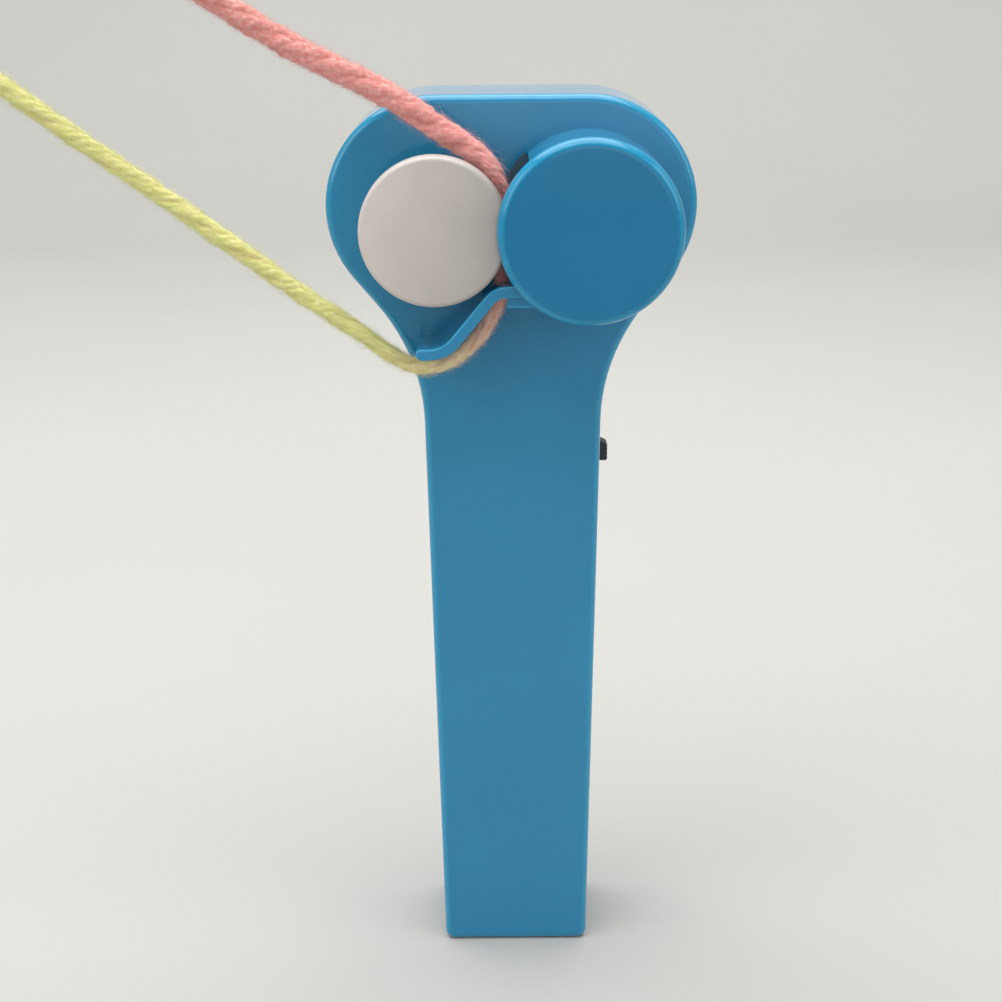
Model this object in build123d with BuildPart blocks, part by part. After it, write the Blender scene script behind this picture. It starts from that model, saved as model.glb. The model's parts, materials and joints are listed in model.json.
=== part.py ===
from build123d import *
import os
from math import acos, cos, pi, radians, sin, tan

os.makedirs("parts", exist_ok=True)

# A hand-held string launcher that stands on the end of its handle. Millimetres, +Z up, front towards -Y.
# Origin: the middle of the whole object's footprint, at the base.

# ---------------------------------------------------------------- driving dimensions
HEIGHT = 180.0
LOBE_R = 21.0  # rounded shoulders of the head
AXLE_X = 14.4  # each wheel axle stands this far from the middle
AXLE_Z = 156.6
BASE_HALF = 15.2  # half the handle's width at the base
TAPER = 0.019  # the handle's side leans out this much per millimetre of height
FLANK_LEAN = 40.0  # degrees from vertical, where the head runs down into the handle
NECK_R = 38.0
BASE_CORNER_R = 2.0

FRONT_Y = -3.7  # front face of the case
SPLIT_Y = 8.5  # where the two half shells meet
REAR_Y = 20.7
WALL = 2.0
FRONT_IN = FRONT_Y + WALL
REAR_IN = REAR_Y - WALL

COVER_R = 17.2
COVER_T = 2.2
COVER_Y = -20.7  # front face of the round cover
COVER_EDGE_R = 1.9
WALL_END_Y = COVER_Y + COVER_T
SHROUD_T = 1.6
SHROUD_OPEN = (131.0, 222.0)  # degrees, the side that faces the other wheel

WELL_R = 15.3
WELL_WIDE_R = 17.5  # where the wall is open
WELL_OPEN = (133.0, 213.0)
WELL_T = 0.4

STRING_Y = -9.7  # the plane that the string runs in
STRING_R = 1.75
NIP_X = -1.0

WHITE_R = 13.8
WHITE_FRONT = -18.1
FLANGE_T = 4.4
DRUM_R = 11.3
TYRE_R = 13.3
HUB_R = 10.4
WHEEL_REAR = -5.0

SHAFT_R = 1.5
BUSH_BORE_R = 1.55
BUSH_R = 3.0
SHAFT_END_Y = 17.4

MODULE = 0.8
WHEEL_TEETH = 36
PINION_TEETH = 12
GEAR_REAR, GEAR_FRONT = 2.6, -0.6
PINION_DIRECTION = -120.0  # degrees, from the drive gear's axis to the motor's


def facing(y):
    """A plane at depth y, seen from the front: its x runs to the right and its y runs up."""
    return Plane((0, y, 0), x_dir=(1, 0, 0), z_dir=(0, -1, 0))


def save(piece, name):
    piece.part.label = name
    export_step(piece.part, f"parts/{name}.step")


# ---------------------------------------------------------------- outline of the case
lobe_z = HEIGHT - LOBE_R
flank_x = AXLE_X + LOBE_R * cos(radians(FLANK_LEAN))
flank_z = lobe_z - LOBE_R * sin(radians(FLANK_LEAN))
run = (flank_x - BASE_HALF - TAPER * flank_z) / (tan(radians(FLANK_LEAN)) - TAPER)
neck_z = flank_z - run
neck_x = BASE_HALF + TAPER * neck_z

with BuildSketch() as outline:
    with BuildLine():
        Polyline((0, 0), (BASE_HALF, 0), (neck_x, neck_z), (flank_x, flank_z))
        CenterArc((AXLE_X, lobe_z), LOBE_R, -FLANK_LEAN, 90 + FLANK_LEAN)
        Line((AXLE_X, HEIGHT), (0, HEIGHT))
        mirror(about=Plane.YZ)
    make_face()
    neck = outline.vertices().filter_by(lambda v: abs(v.Y - neck_z) < 0.01)
    fillet(neck, NECK_R)
    base = outline.vertices().filter_by(lambda v: v.Y < 0.01 and abs(v.X) > 1)
    fillet(base, BASE_CORNER_R)

# ---------------------------------------------------------------- places inside the case
CASE_SCREWS = [(-24.8, 171.4), (24.8, 171.4), (0.0, 174.0), (0.0, 125.5), (-8.5, 6.3), (8.5, 6.3)]
BOSS_R = 2.8
SCREW_R = 1.2
PILOT_R = 1.25
HEAD_R = 2.1
HEAD_SEAT_Y = REAR_Y - 3.2  # the screw heads sit in wells in the rear shell

pinion_far = MODULE * (WHEEL_TEETH + PINION_TEETH) / 2
MOTOR_X = AXLE_X + pinion_far * cos(radians(PINION_DIRECTION))
MOTOR_Z = AXLE_Z + pinion_far * sin(radians(PINION_DIRECTION))
MOUNT_Y = 3.2  # front face of the motor's mounting plate
MOUNT_T = 1.6
MOUNT_POSTS = [(-8.0, 137.0), (16.0, 133.6)]

SWITCH_Z = 108.0
SWITCH_TRAVEL = 3.0
SWITCH_X = (10.4, 13.9)
SWITCH_DEPTH, SWITCH_HEIGHT = 5.6, 12.0
KNOB_SIDE = 19.4  # how far out the knob reaches
KNOB_LENGTH = 4.5
KNOB_SLOPE = 1.1  # how far the knob's top drops on its way out
KNOB_WIDTH = 3.5
KNOB_GAP = 0.35
knob_low = SWITCH_Z - KNOB_LENGTH / 2
knob_high = SWITCH_Z + KNOB_LENGTH / 2
slot_low = knob_low - SWITCH_TRAVEL - KNOB_GAP
slot_high = knob_high + KNOB_GAP
slot_half = KNOB_WIDTH / 2 + KNOB_GAP

CELL_R = 5.25
CELL_LENGTH = 43.5
CELL_NUB = 1.0
CELL_NUB_R = 1.9
CELL_X = 5.6
CELL_Y = 13.6
BAY_HALF = 11.2
BAY_FLOOR = 8.0
BAY_BOTTOM, BAY_TOP = 16.4, 68.8
BAY_WALL = 1.2
DOOR_BOTTOM, DOOR_TOP = 11.0, 74.4
DOOR_HALF = 12.1
DOOR_T = 1.4
DOOR_GAP = 0.3
DOOR_SCREWS = [(0.0, 13.8), (0.0, 71.8)]
DOOR_SCREW_R = 1.0
DOOR_PILOT_R = 1.05
DOOR_HEAD_R = 1.9

# ---------------------------------------------------------------- front shell
RIB_T = 2.2
RIB_FRONT = -17.2
RIB_LINE = [(-18.2, 133.6), (-12.7, 133.6), (-3.0, 145.35), (4.4, 145.35)]
SLOT_X = (-5.6, 1.2)
SLOT_Y = (-11.9, -7.4)
SLOT_Z = (140.0, 147.5)
LIP_X = (-1.0, 5.0)  # step under the rib, beside the string
LIP_Y = (-16.2, -12.0)
LIP_LOW = 142.1
WALL_MEETS_X = 1.5  # right of this the rib runs into the wheel's wall


with BuildPart() as front_shell:
    with BuildSketch(facing(SPLIT_Y)):
        add(outline.sketch)
    extrude(amount=SPLIT_Y - FRONT_Y)
    fillet(front_shell.faces().sort_by(Axis.Y)[0].edges(), 1.6)
    chamfer(front_shell.faces().sort_by(Axis.Y)[-1].edges(), 0.2)
    with BuildSketch(facing(SPLIT_Y)):
        add(outline.sketch)
        offset(amount=-WALL)
    extrude(amount=SPLIT_Y - FRONT_IN, mode=Mode.SUBTRACT)
    # screw bosses and the posts that carry the motor's mounting plate
    with BuildSketch(facing(SPLIT_Y)):
        with Locations(*CASE_SCREWS):
            Circle(BOSS_R)
    extrude(amount=SPLIT_Y - FRONT_IN)
    with BuildSketch(facing(MOUNT_Y)):
        with Locations(*MOUNT_POSTS):
            Circle(2.3)
    extrude(amount=MOUNT_Y - FRONT_IN)
    with BuildSketch(facing(SPLIT_Y)):
        with Locations(*CASE_SCREWS):
            Circle(PILOT_R)
        with Locations(*MOUNT_POSTS):
            Circle(0.85)
    extrude(amount=SPLIT_Y + 0.7, mode=Mode.SUBTRACT)
    # wall round the drive wheel, open towards the other wheel
    with BuildSketch(facing(FRONT_Y)):
        with Locations((AXLE_X, AXLE_Z)):
            Circle(COVER_R)
            Circle(COVER_R - SHROUD_T, mode=Mode.SUBTRACT)
        with BuildLine():
            mouth = Polyline(
                *[
                    (AXLE_X + r * cos(radians(a)), AXLE_Z + r * sin(radians(a)))
                    for r, a in ((0, 0), (40, SHROUD_OPEN[0]), (40, 180), (40, SHROUD_OPEN[1]))
                ],
                close=True,
            )
        make_face(mode=Mode.SUBTRACT)
    extrude(amount=FRONT_Y - WALL_END_Y)
    # curved rib under the wheels that keeps the string in line, with the slot that the string rises through
    with BuildSketch(facing(FRONT_Y)):
        with BuildLine():
            FilletPolyline(*RIB_LINE, radius=(6.5, 4.0))
        rib = trace(line_width=RIB_T)
        rib_end = rib.vertices().sort_by(Axis.X)[:2]
        fillet(rib_end, RIB_T / 2 - 0.05)
    extrude(amount=FRONT_Y - RIB_FRONT)
    with BuildSketch(facing(LIP_Y[1])):
        with Locations((LIP_X[0], LIP_LOW)):
            Rectangle(LIP_X[1] - LIP_X[0], RIB_LINE[-1][1] - LIP_LOW, align=Align.MIN)
    extrude(amount=LIP_Y[1] - LIP_Y[0])
    with BuildSketch(facing(FRONT_Y)):
        with Locations((AXLE_X, AXLE_Z)):
            Circle(COVER_R - SHROUD_T)
    extrude(amount=FRONT_Y - RIB_FRONT, mode=Mode.SUBTRACT)
    with BuildSketch(facing(SLOT_Y[1])):
        with Locations((SLOT_X[0], SLOT_Z[0])):
            Rectangle(SLOT_X[1] - SLOT_X[0], SLOT_Z[1] - SLOT_Z[0], align=Align.MIN)
    extrude(amount=SLOT_Y[1] - SLOT_Y[0], mode=Mode.SUBTRACT)
    rib_front = front_shell.faces().filter_by(lambda f: abs(f.center().Y - RIB_FRONT) < 0.01)
    fillet(rib_front.edges().filter_by(lambda e: (e @ 0.5).X < WALL_MEETS_X), 0.5)
    lip_front = front_shell.faces().filter_by(lambda f: abs(f.center().Y - LIP_Y[0]) < 0.01)
    fillet(lip_front.edges().sort_by(Axis.Z)[0], 0.6)
    # holes for the two bushes
    with BuildSketch(facing(FRONT_IN)):
        with Locations((-AXLE_X, AXLE_Z), (AXLE_X, AXLE_Z)):
            Circle(BUSH_R)
    extrude(amount=WALL, mode=Mode.SUBTRACT)
    # front half of the slot that the switch knob moves in
    with BuildSketch(facing(SPLIT_Y)):
        with Locations((16.6, (slot_low + slot_high) / 2)):
            Rectangle(4.0, slot_high - slot_low)
    extrude(amount=slot_half, mode=Mode.SUBTRACT)
save(front_shell, "front_shell")

# ---------------------------------------------------------------- rear shell
with BuildPart() as rear_shell:
    with BuildSketch(facing(REAR_Y)):
        add(outline.sketch)
    extrude(amount=REAR_Y - SPLIT_Y)
    fillet(rear_shell.faces().sort_by(Axis.Y)[-1].edges(), 1.8)
    chamfer(rear_shell.faces().sort_by(Axis.Y)[0].edges(), 0.2)
    with BuildSketch(facing(REAR_IN)):
        add(outline.sketch)
        offset(amount=-WALL)
    extrude(amount=REAR_IN - SPLIT_Y, mode=Mode.SUBTRACT)
    # screw bosses, and the posts that hold the shafts' rear bushes
    with BuildSketch(facing(REAR_IN)):
        with Locations(*CASE_SCREWS):
            Circle(BOSS_R)
    extrude(amount=REAR_IN - SPLIT_Y)
    with BuildSketch(facing(REAR_IN)):
        with Locations((-AXLE_X, AXLE_Z), (AXLE_X, AXLE_Z)):
            Circle(5.0)
    extrude(amount=5.0)
    # battery bay, with ledges that the door and its screws seat on
    with BuildSketch(facing(REAR_Y - DOOR_T - 0.1)):
        with Locations((0, (BAY_BOTTOM + BAY_TOP) / 2)):
            Rectangle(2 * (BAY_HALF + 1.7), BAY_TOP - BAY_BOTTOM + 2 * BAY_WALL)
    extrude(amount=REAR_Y - DOOR_T - 0.1 - BAY_FLOOR + BAY_WALL)
    with BuildSketch(facing(REAR_Y - DOOR_T - 0.1)):
        with Locations((0, (DOOR_BOTTOM + DOOR_TOP) / 2)):
            Rectangle(2 * (BAY_HALF + 1.7), DOOR_TOP - DOOR_BOTTOM + 2.2)
    extrude(amount=4.0)
    with BuildSketch(facing(REAR_Y)):
        with Locations((0, (DOOR_BOTTOM + DOOR_TOP) / 2)):
            RectangleRounded(
                2 * (DOOR_HALF + DOOR_GAP), DOOR_TOP - DOOR_BOTTOM + 2 * DOOR_GAP, 1.5 + DOOR_GAP
            )
    extrude(amount=DOOR_T + 0.1, mode=Mode.SUBTRACT)
    with BuildSketch(facing(REAR_Y)):
        with Locations((0, (BAY_BOTTOM + BAY_TOP) / 2)):
            Rectangle(2 * BAY_HALF, BAY_TOP - BAY_BOTTOM)
    extrude(amount=REAR_Y - BAY_FLOOR, mode=Mode.SUBTRACT)
    # slits in the bay's top wall for the contact tabs
    with BuildSketch(Plane.XY.offset(BAY_TOP - 0.2)):
        with Locations((-CELL_X, 9.4), (CELL_X, 9.4)):
            Rectangle(2.6, 1.0)
    extrude(amount=BAY_WALL + 0.4, mode=Mode.SUBTRACT)
    # pocket that holds the switch body
    with BuildSketch(Plane.YZ.offset(SWITCH_X[0])):
        with Locations(((SPLIT_Y + REAR_IN) / 2, SWITCH_Z)):
            Rectangle(REAR_IN - SPLIT_Y, SWITCH_HEIGHT + 2.4)
        with Locations((SPLIT_Y, SWITCH_Z)):
            Rectangle(SWITCH_DEPTH, SWITCH_HEIGHT, mode=Mode.SUBTRACT)
    extrude(amount=SWITCH_X[1] - SWITCH_X[0])
    # wells and clearance holes for the case screws, pilots for the door's screws, seats for the bushes
    with BuildSketch(facing(REAR_Y)):
        with Locations(*CASE_SCREWS):
            Circle(HEAD_R + 0.3)
    extrude(amount=REAR_Y - HEAD_SEAT_Y, mode=Mode.SUBTRACT)
    with BuildSketch(facing(REAR_Y)):
        with Locations(*CASE_SCREWS):
            Circle(SCREW_R + 0.2)
    extrude(amount=REAR_Y - SPLIT_Y, mode=Mode.SUBTRACT)
    with BuildSketch(facing(REAR_Y)):
        with Locations(*DOOR_SCREWS):
            Circle(DOOR_PILOT_R)
    extrude(amount=5.2, mode=Mode.SUBTRACT)
    with BuildSketch(facing(17.7)):
        with Locations((-AXLE_X, AXLE_Z), (AXLE_X, AXLE_Z)):
            Circle(BUSH_R)
    extrude(amount=4.2, mode=Mode.SUBTRACT)
    # rear half of the switch knob's slot
    with BuildSketch(facing(SPLIT_Y + slot_half)):
        with Locations((16.6, (slot_low + slot_high) / 2)):
            Rectangle(4.0, slot_high - slot_low)
    extrude(amount=slot_half, mode=Mode.SUBTRACT)
save(rear_shell, "rear_shell")

# ---------------------------------------------------------------- round cover over the drive wheel
with BuildPart() as wheel_cover:
    with BuildSketch(facing(WALL_END_Y)):
        with Locations((AXLE_X, AXLE_Z)):
            Circle(COVER_R)
    extrude(amount=COVER_T)
    fillet(wheel_cover.faces().sort_by(Axis.Y)[0].edges(), COVER_EDGE_R)
save(wheel_cover, "wheel_cover")

# ---------------------------------------------------------------- dark plate behind the drive wheel
with BuildPart() as well_plate:
    with BuildSketch(facing(FRONT_Y)):
        with Locations((AXLE_X, AXLE_Z)):
            Circle(WELL_WIDE_R)
        with BuildLine():
            Polyline(
                *[
                    (AXLE_X + r * cos(radians(a)), AXLE_Z + r * sin(radians(a)))
                    for r, a in ((0, 0), (40, WELL_OPEN[0]), (40, 175), (40, WELL_OPEN[1]))
                ],
                close=True,
            )
        make_face(mode=Mode.INTERSECT)
        with Locations((AXLE_X, AXLE_Z)):
            Circle(WELL_R)
            Circle(BUSH_R + 0.4, mode=Mode.SUBTRACT)
    extrude(amount=WELL_T)
save(well_plate, "well_plate")

# ---------------------------------------------------------------- case screws
with BuildPart() as case_screws:
    with BuildSketch(facing(HEAD_SEAT_Y + 1.8)):
        with Locations(*CASE_SCREWS):
            Circle(HEAD_R)
    extrude(amount=1.8)
    heads = case_screws.faces().sort_by(Axis.Y, reverse=True)[: len(CASE_SCREWS)]
    fillet(heads.edges(), 0.7)
    with BuildSketch(facing(HEAD_SEAT_Y)):
        with Locations(*CASE_SCREWS):
            Circle(SCREW_R)
    extrude(amount=HEAD_SEAT_Y - 0.3)
    with BuildSketch(facing(HEAD_SEAT_Y + 1.8)):
        with Locations(*CASE_SCREWS):
            Rectangle(2.4, 0.55)
            Rectangle(0.55, 2.4)
    extrude(amount=1.1, mode=Mode.SUBTRACT)
save(case_screws, "case_screws")

# ---------------------------------------------------------------- battery door and its screws
with BuildPart() as battery_door:
    with BuildSketch(facing(REAR_Y)):
        with Locations((0, (DOOR_BOTTOM + DOOR_TOP) / 2)):
            RectangleRounded(2 * DOOR_HALF, DOOR_TOP - DOOR_BOTTOM, 1.5)
    extrude(amount=DOOR_T)
    # grip ridges across the door, sunk into its face
    with BuildSketch(facing(REAR_Y)):
        with GridLocations(0, 1.6, 1, 7):
            with Locations((0, 60.0)):
                SlotOverall(13.0, 0.8)
    extrude(amount=0.5, mode=Mode.SUBTRACT)
    for x, z in DOOR_SCREWS:
        with BuildSketch(facing(REAR_Y).shift_origin((x, REAR_Y, z))):
            Circle(DOOR_HEAD_R + 0.1)
        extrude(amount=1.0, taper=45, mode=Mode.SUBTRACT)
        with BuildSketch(facing(REAR_Y).shift_origin((x, REAR_Y, z))):
            Circle(DOOR_SCREW_R + 0.15)
        extrude(amount=DOOR_T, mode=Mode.SUBTRACT)
save(battery_door, "battery_door")

with BuildPart() as door_screws:
    for x, z in DOOR_SCREWS:
        with BuildSketch(facing(REAR_Y - 0.9).shift_origin((x, REAR_Y - 0.9, z))):
            Circle(DOOR_SCREW_R)
        extrude(amount=4.0)
        with BuildSketch(facing(REAR_Y - 0.05).shift_origin((x, REAR_Y - 0.05, z))):
            Circle(DOOR_HEAD_R)
        extrude(amount=0.85, taper=45)
        with BuildSketch(facing(REAR_Y - 0.05).shift_origin((x, REAR_Y - 0.05, z))):
            Rectangle(2.2, 0.5)
            Rectangle(0.5, 2.2)
        extrude(amount=0.6, mode=Mode.SUBTRACT)
save(door_screws, "door_screws")

# ---------------------------------------------------------------- wheels
with BuildPart() as white_wheel:
    with BuildSketch(facing(WHITE_FRONT + FLANGE_T)):
        with Locations((-AXLE_X, AXLE_Z)):
            Circle(WHITE_R)
    extrude(amount=FLANGE_T)
    fillet(white_wheel.faces().sort_by(Axis.Y)[0].edges(), 0.8)
    fillet(white_wheel.faces().sort_by(Axis.Y)[-1].edges(), 0.3)
    with BuildSketch(facing(WHEEL_REAR)):
        with Locations((-AXLE_X, AXLE_Z)):
            Circle(DRUM_R)
    extrude(amount=WHEEL_REAR - WHITE_FRONT - FLANGE_T)
    with BuildSketch(facing(WHEEL_REAR)):
        with Locations((-AXLE_X, AXLE_Z)):
            Circle(SHAFT_R)
    extrude(amount=9.0, mode=Mode.SUBTRACT)
save(white_wheel, "white_wheel")

with BuildPart() as drive_hub:
    with BuildSketch(facing(WHEEL_REAR)):
        with Locations((AXLE_X, AXLE_Z)):
            Circle(HUB_R)
            Circle(SHAFT_R, mode=Mode.SUBTRACT)
    extrude(amount=11.4)
    with BuildSketch(facing(WHEEL_REAR - 11.4)):
        with Locations((AXLE_X, AXLE_Z)):
            Circle(HUB_R - 1.8)
            Circle(SHAFT_R + 1.8, mode=Mode.SUBTRACT)
    extrude(amount=-4.0, mode=Mode.SUBTRACT)
save(drive_hub, "drive_hub")

with BuildPart() as drive_tyre:
    with BuildSketch(facing(WHEEL_REAR - 0.3)):
        with Locations((AXLE_X, AXLE_Z)):
            Circle(TYRE_R)
            Circle(HUB_R, mode=Mode.SUBTRACT)
    extrude(amount=10.8)
    rims = drive_tyre.edges().filter_by(GeomType.CIRCLE).filter_by(lambda e: e.radius > TYRE_R - 0.1)
    fillet(rims, 0.6)
save(drive_tyre, "drive_tyre")

# ---------------------------------------------------------------- shafts and bushes
for side, name, front in ((-1, "white_wheel_shaft", -13.9), (1, "drive_shaft", -16.0)):
    with BuildPart() as shaft:
        with BuildSketch(facing(SHAFT_END_Y)):
            with Locations((side * AXLE_X, AXLE_Z)):
                Circle(SHAFT_R)
        extrude(amount=SHAFT_END_Y - front)
        chamfer(shaft.edges().filter_by(GeomType.CIRCLE), 0.2)
    save(shaft, name)

with BuildPart() as front_bushes:
    with BuildSketch(facing(FRONT_IN + 0.8)):
        with Locations((-AXLE_X, AXLE_Z), (AXLE_X, AXLE_Z)):
            Circle(4.2)
    extrude(amount=0.8)
    with BuildSketch(facing(FRONT_IN)):
        with Locations((-AXLE_X, AXLE_Z), (AXLE_X, AXLE_Z)):
            Circle(BUSH_R)
    extrude(amount=WALL)
    with BuildSketch(facing(FRONT_IN + 0.8)):
        with Locations((-AXLE_X, AXLE_Z), (AXLE_X, AXLE_Z)):
            Circle(BUSH_BORE_R)
    extrude(amount=WALL + 0.8, mode=Mode.SUBTRACT)
save(front_bushes, "front_bushes")

with BuildPart() as rear_bushes:
    with BuildSketch(facing(17.7)):
        with Locations((-AXLE_X, AXLE_Z), (AXLE_X, AXLE_Z)):
            Circle(BUSH_R)
            Circle(BUSH_BORE_R, mode=Mode.SUBTRACT)
    extrude(amount=4.0)
save(rear_bushes, "rear_bushes")

# ---------------------------------------------------------------- gears
PRESSURE = radians(20)
BACKLASH = 0.14
FLANK_STEPS = 3


def gear_outline(teeth, first_tooth):
    """Corner points of a spur gear whose flanks are involutes; first_tooth is in degrees."""
    pitch_r = MODULE * teeth / 2
    base_r = pitch_r * cos(PRESSURE)
    tip_r = pitch_r + 0.75 * MODULE
    root_r = pitch_r - 1.25 * MODULE

    def half_tooth(r):
        at_r = acos(min(base_r / r, 1.0))
        spread = (tan(PRESSURE) - PRESSURE) - (tan(at_r) - at_r)
        return pi / (2 * teeth) - BACKLASH / (2 * pitch_r) + spread

    start_r = max(base_r, root_r + 0.05)
    flank = [start_r + (tip_r - start_r) * i / FLANK_STEPS for i in range(FLANK_STEPS + 1)]
    side = [(root_r, half_tooth(start_r))] + [(r, half_tooth(r)) for r in flank]
    points = []
    for k in range(teeth):
        middle = radians(first_tooth + 360 * k / teeth)
        points += [(r * cos(middle - a), r * sin(middle - a)) for r, a in side]
        points += [(r * cos(middle + a), r * sin(middle + a)) for r, a in reversed(side)]
    return points


half_step = 180 / WHEEL_TEETH
for side, name, first_tooth in ((-1, "white_wheel_gear", half_step), (1, "drive_gear", 0.0)):
    with BuildPart() as gear:
        with BuildSketch(facing(GEAR_REAR).shift_origin((side * AXLE_X, GEAR_REAR, AXLE_Z))):
            with BuildLine():
                Polyline(*gear_outline(WHEEL_TEETH, first_tooth), close=True)
            make_face()
        extrude(amount=GEAR_REAR - GEAR_FRONT)
        with BuildSketch(facing(GEAR_REAR + 2.2).shift_origin((side * AXLE_X, GEAR_REAR + 2.2, AXLE_Z))):
            Circle(4.0)
        extrude(amount=2.2)
        with BuildSketch(facing(GEAR_REAR + 2.2).shift_origin((side * AXLE_X, GEAR_REAR + 2.2, AXLE_Z))):
            Circle(SHAFT_R)
            with PolarLocations(8.6, 6):
                Circle(2.2)
        extrude(amount=GEAR_REAR + 2.2 - GEAR_FRONT, mode=Mode.SUBTRACT)
    save(gear, name)

MOTOR_SHAFT_R = 0.75
pinion_first_tooth = PINION_DIRECTION + 180 + 180 / PINION_TEETH
with BuildPart() as motor_pinion:
    with BuildSketch(facing(2.2).shift_origin((MOTOR_X, 2.2, MOTOR_Z))):
        with BuildLine():
            Polyline(*gear_outline(PINION_TEETH, pinion_first_tooth), close=True)
        make_face()
        Circle(MOTOR_SHAFT_R, mode=Mode.SUBTRACT)
    extrude(amount=2.6)
save(motor_pinion, "motor_pinion")

# ---------------------------------------------------------------- motor and its mounting plate
CAN_FRONT = MOUNT_Y + MOUNT_T
CAN_REAR = 15.3
CAP_REAR = 16.8
MOTOR_SCREW_X = 4.4

with BuildPart() as motor_can:
    with BuildSketch(facing(CAN_REAR).shift_origin((MOTOR_X, CAN_REAR, MOTOR_Z))):
        Circle(6.0)
        Rectangle(12.0, 10.0, mode=Mode.INTERSECT)
    extrude(amount=CAN_REAR - CAN_FRONT)
    with BuildSketch(facing(CAN_FRONT).shift_origin((MOTOR_X, CAN_FRONT, MOTOR_Z))):
        Circle(2.1)
    extrude(amount=1.2)
    with BuildSketch(facing(CAN_REAR).shift_origin((MOTOR_X, CAN_REAR, MOTOR_Z))):
        Circle(MOTOR_SHAFT_R + 0.05)
    extrude(amount=CAN_REAR - CAN_FRONT + 1.2, mode=Mode.SUBTRACT)
    with BuildSketch(facing(CAN_FRONT + 1.8).shift_origin((MOTOR_X, CAN_FRONT + 1.8, MOTOR_Z))):
        with GridLocations(2 * MOTOR_SCREW_X, 0, 2, 1):
            Circle(0.8)
    extrude(amount=1.8, mode=Mode.SUBTRACT)
save(motor_can, "motor_can")

with BuildPart() as motor_end_cap:
    with BuildSketch(facing(CAP_REAR).shift_origin((MOTOR_X, CAP_REAR, MOTOR_Z))):
        Circle(5.8)
        Rectangle(11.6, 9.6, mode=Mode.INTERSECT)
    extrude(amount=CAP_REAR - CAN_REAR)
    with BuildSketch(facing(CAP_REAR - 0.5).shift_origin((MOTOR_X, CAP_REAR - 0.5, MOTOR_Z))):
        Circle(MOTOR_SHAFT_R + 0.05)
    extrude(amount=CAP_REAR - 0.5 - CAN_REAR, mode=Mode.SUBTRACT)
save(motor_end_cap, "motor_end_cap")

TERMINAL_X = 3.2
with BuildPart() as motor_terminals:
    with BuildSketch(facing(CAP_REAR + 1.4).shift_origin((MOTOR_X, CAP_REAR + 1.4, MOTOR_Z))):
        with GridLocations(2 * TERMINAL_X, 0, 2, 1):
            Rectangle(0.5, 1.6)
    extrude(amount=1.4)
save(motor_terminals, "motor_terminals")

with BuildPart() as motor_shaft:
    with BuildSketch(facing(CAP_REAR - 0.6).shift_origin((MOTOR_X, CAP_REAR - 0.6, MOTOR_Z))):
        Circle(MOTOR_SHAFT_R)
    extrude(amount=CAP_REAR - 0.6 + 0.8)
save(motor_shaft, "motor_shaft")

with BuildPart() as motor_mount:
    with BuildSketch(facing(CAN_FRONT)):
        with Locations(*MOUNT_POSTS):
            Circle(2.4)
        with Locations((MOTOR_X, MOTOR_Z)):
            Rectangle(13.0, 10.6)
        make_hull()
        with Locations(*MOUNT_POSTS):
            Circle(0.95, mode=Mode.SUBTRACT)
        with Locations((MOTOR_X, MOTOR_Z)):
            Circle(2.15, mode=Mode.SUBTRACT)
            with GridLocations(2 * MOTOR_SCREW_X, 0, 2, 1):
                Circle(0.85, mode=Mode.SUBTRACT)
    extrude(amount=MOUNT_T)
save(motor_mount, "motor_mount")

with BuildPart() as motor_screws:
    with BuildSketch(facing(MOUNT_Y).shift_origin((MOTOR_X, MOUNT_Y, MOTOR_Z))):
        with GridLocations(2 * MOTOR_SCREW_X, 0, 2, 1):
            Circle(1.3)
    extrude(amount=0.6)
    with BuildSketch(facing(CAN_FRONT + 1.6).shift_origin((MOTOR_X, CAN_FRONT + 1.6, MOTOR_Z))):
        with GridLocations(2 * MOTOR_SCREW_X, 0, 2, 1):
            Circle(0.75)
    extrude(amount=MOUNT_T + 1.6)
save(motor_screws, "motor_screws")

with BuildPart() as mount_screws:
    with BuildSketch(facing(CAN_FRONT + 1.1)):
        with Locations(*MOUNT_POSTS):
            Circle(1.8)
    extrude(amount=1.1)
    with BuildSketch(facing(CAN_FRONT)):
        with Locations(*MOUNT_POSTS):
            Circle(0.8)
    extrude(amount=CAN_FRONT + 0.4)
save(mount_screws, "mount_screws")

# ---------------------------------------------------------------- slide switch and its knob
TAB_PITCH = 3.5
TAB_X = 8.6

with BuildPart() as switch_body:
    with BuildSketch(Plane.YZ.offset(SWITCH_X[0])):
        with Locations((SPLIT_Y, SWITCH_Z)):
            Rectangle(SWITCH_DEPTH, SWITCH_HEIGHT)
    extrude(amount=SWITCH_X[1] - SWITCH_X[0])
    with BuildSketch(Plane.YZ.offset(SWITCH_X[1])):
        with Locations((SPLIT_Y, SWITCH_Z - SWITCH_TRAVEL / 2)):
            Rectangle(3.0, 3.0 + SWITCH_TRAVEL + 0.8)
    extrude(amount=-1.9, mode=Mode.SUBTRACT)
save(switch_body, "switch_body")

with BuildPart() as switch_terminals:
    with BuildSketch(Plane.YZ.offset(TAB_X)):
        with Locations((SPLIT_Y, SWITCH_Z)):
            with GridLocations(0, TAB_PITCH, 1, 3):
                Rectangle(1.6, 0.4)
    extrude(amount=SWITCH_X[0] - TAB_X)
save(switch_terminals, "switch_terminals")

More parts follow.
